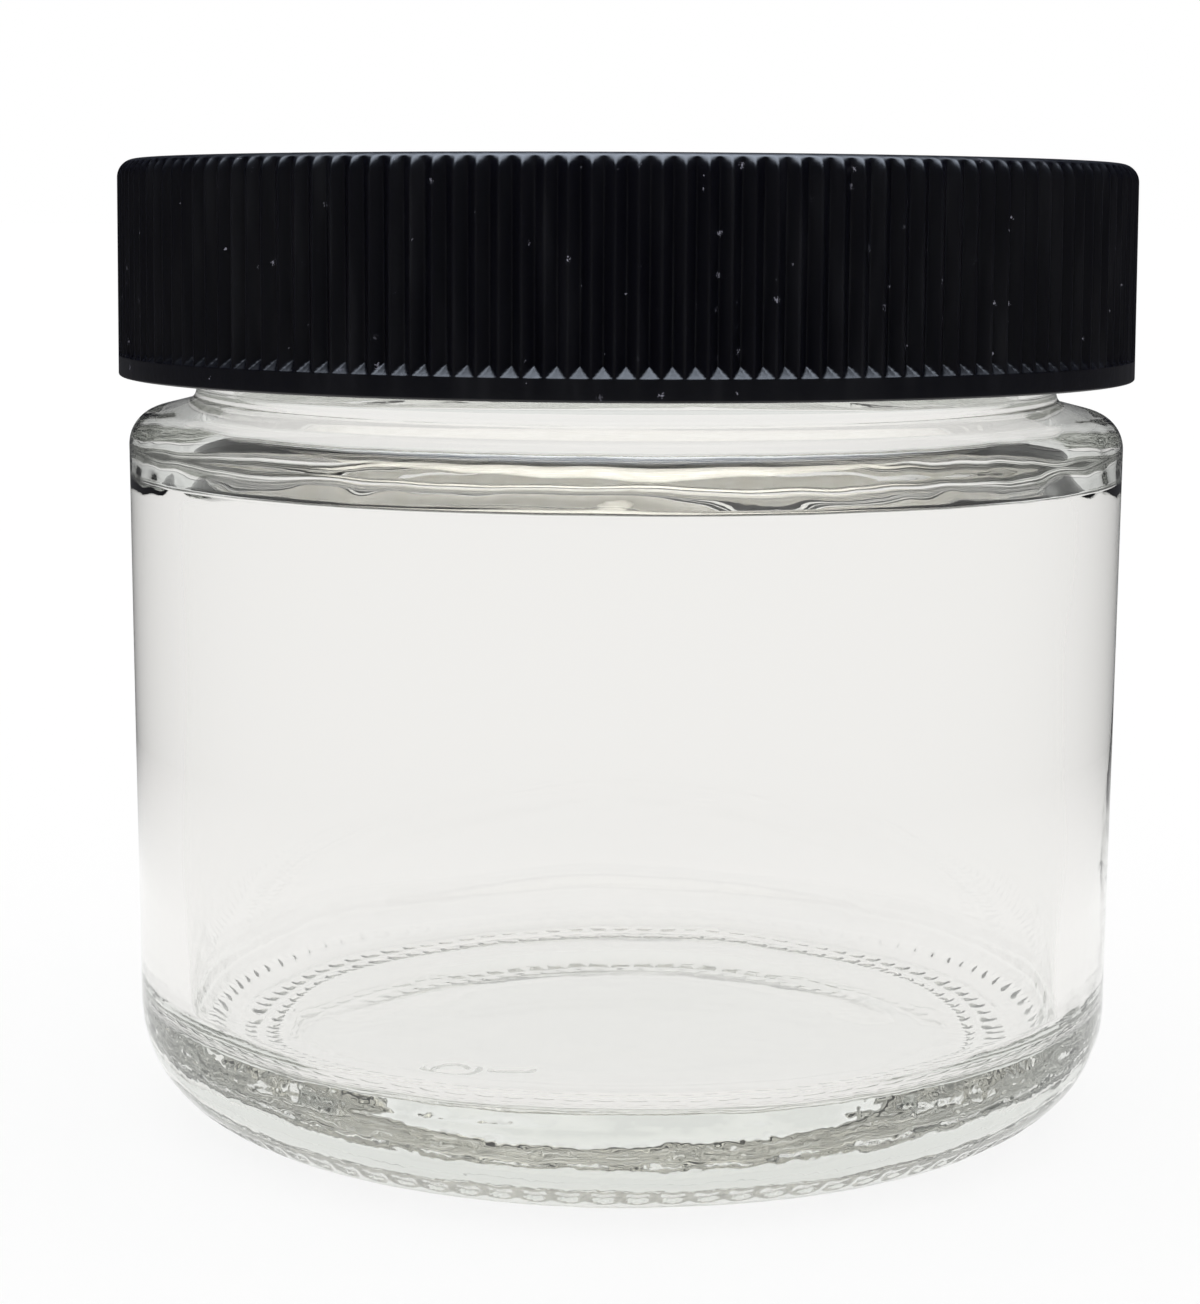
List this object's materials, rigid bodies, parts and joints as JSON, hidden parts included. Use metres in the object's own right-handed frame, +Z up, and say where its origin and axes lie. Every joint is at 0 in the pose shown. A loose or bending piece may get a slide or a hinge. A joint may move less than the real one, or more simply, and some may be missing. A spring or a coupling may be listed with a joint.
{
  "type": "specimen jar",
  "caption": "Straight-sided clear glass specimen jar with a finely ribbed black screw cap and a film-faced liner disc.",
  "frame": {"origin": "middle of the jar's base, on the surface it stands on", "axes": "+Z up along the jar's axis, through the cap; -Y is the front, and the jar's thread starts on +X"},
  "size_m": [0.0562, 0.0562, 0.053],
  "materials": {
    "flint_glass": "fire-polished clear glass, faint mould ripple, stippled bearing ring",
    "black_polypropylene": "satin moulded polypropylene",
    "liner_board": "matt expanded board",
    "liner_film": "thin glossy film"
  },
  "bodies": {
    "jar": {"glass_jar": "flint_glass"},
    "liner": {"liner_backing": "liner_board", "liner_facing": "liner_film"},
    "cap": {"screw_cap": "black_polypropylene"}
  },
  "joints": [
    {"name": "cap_rise", "type": "slide", "parent": "jar", "child": "liner", "axis": [0, 0, 1], "range_m": [0, 0.01483]},
    {"name": "cap_turn", "type": "hinge", "parent": "liner", "child": "cap", "pos_m": [0, 0, 0.0515], "axis": [0, 0, 1], "range_deg": [0, 1260]}
  ],
  "couplings": [
    {"joint": "cap_rise", "follows": "cap_turn", "m_per_rad": 0.00067375}
  ]
}
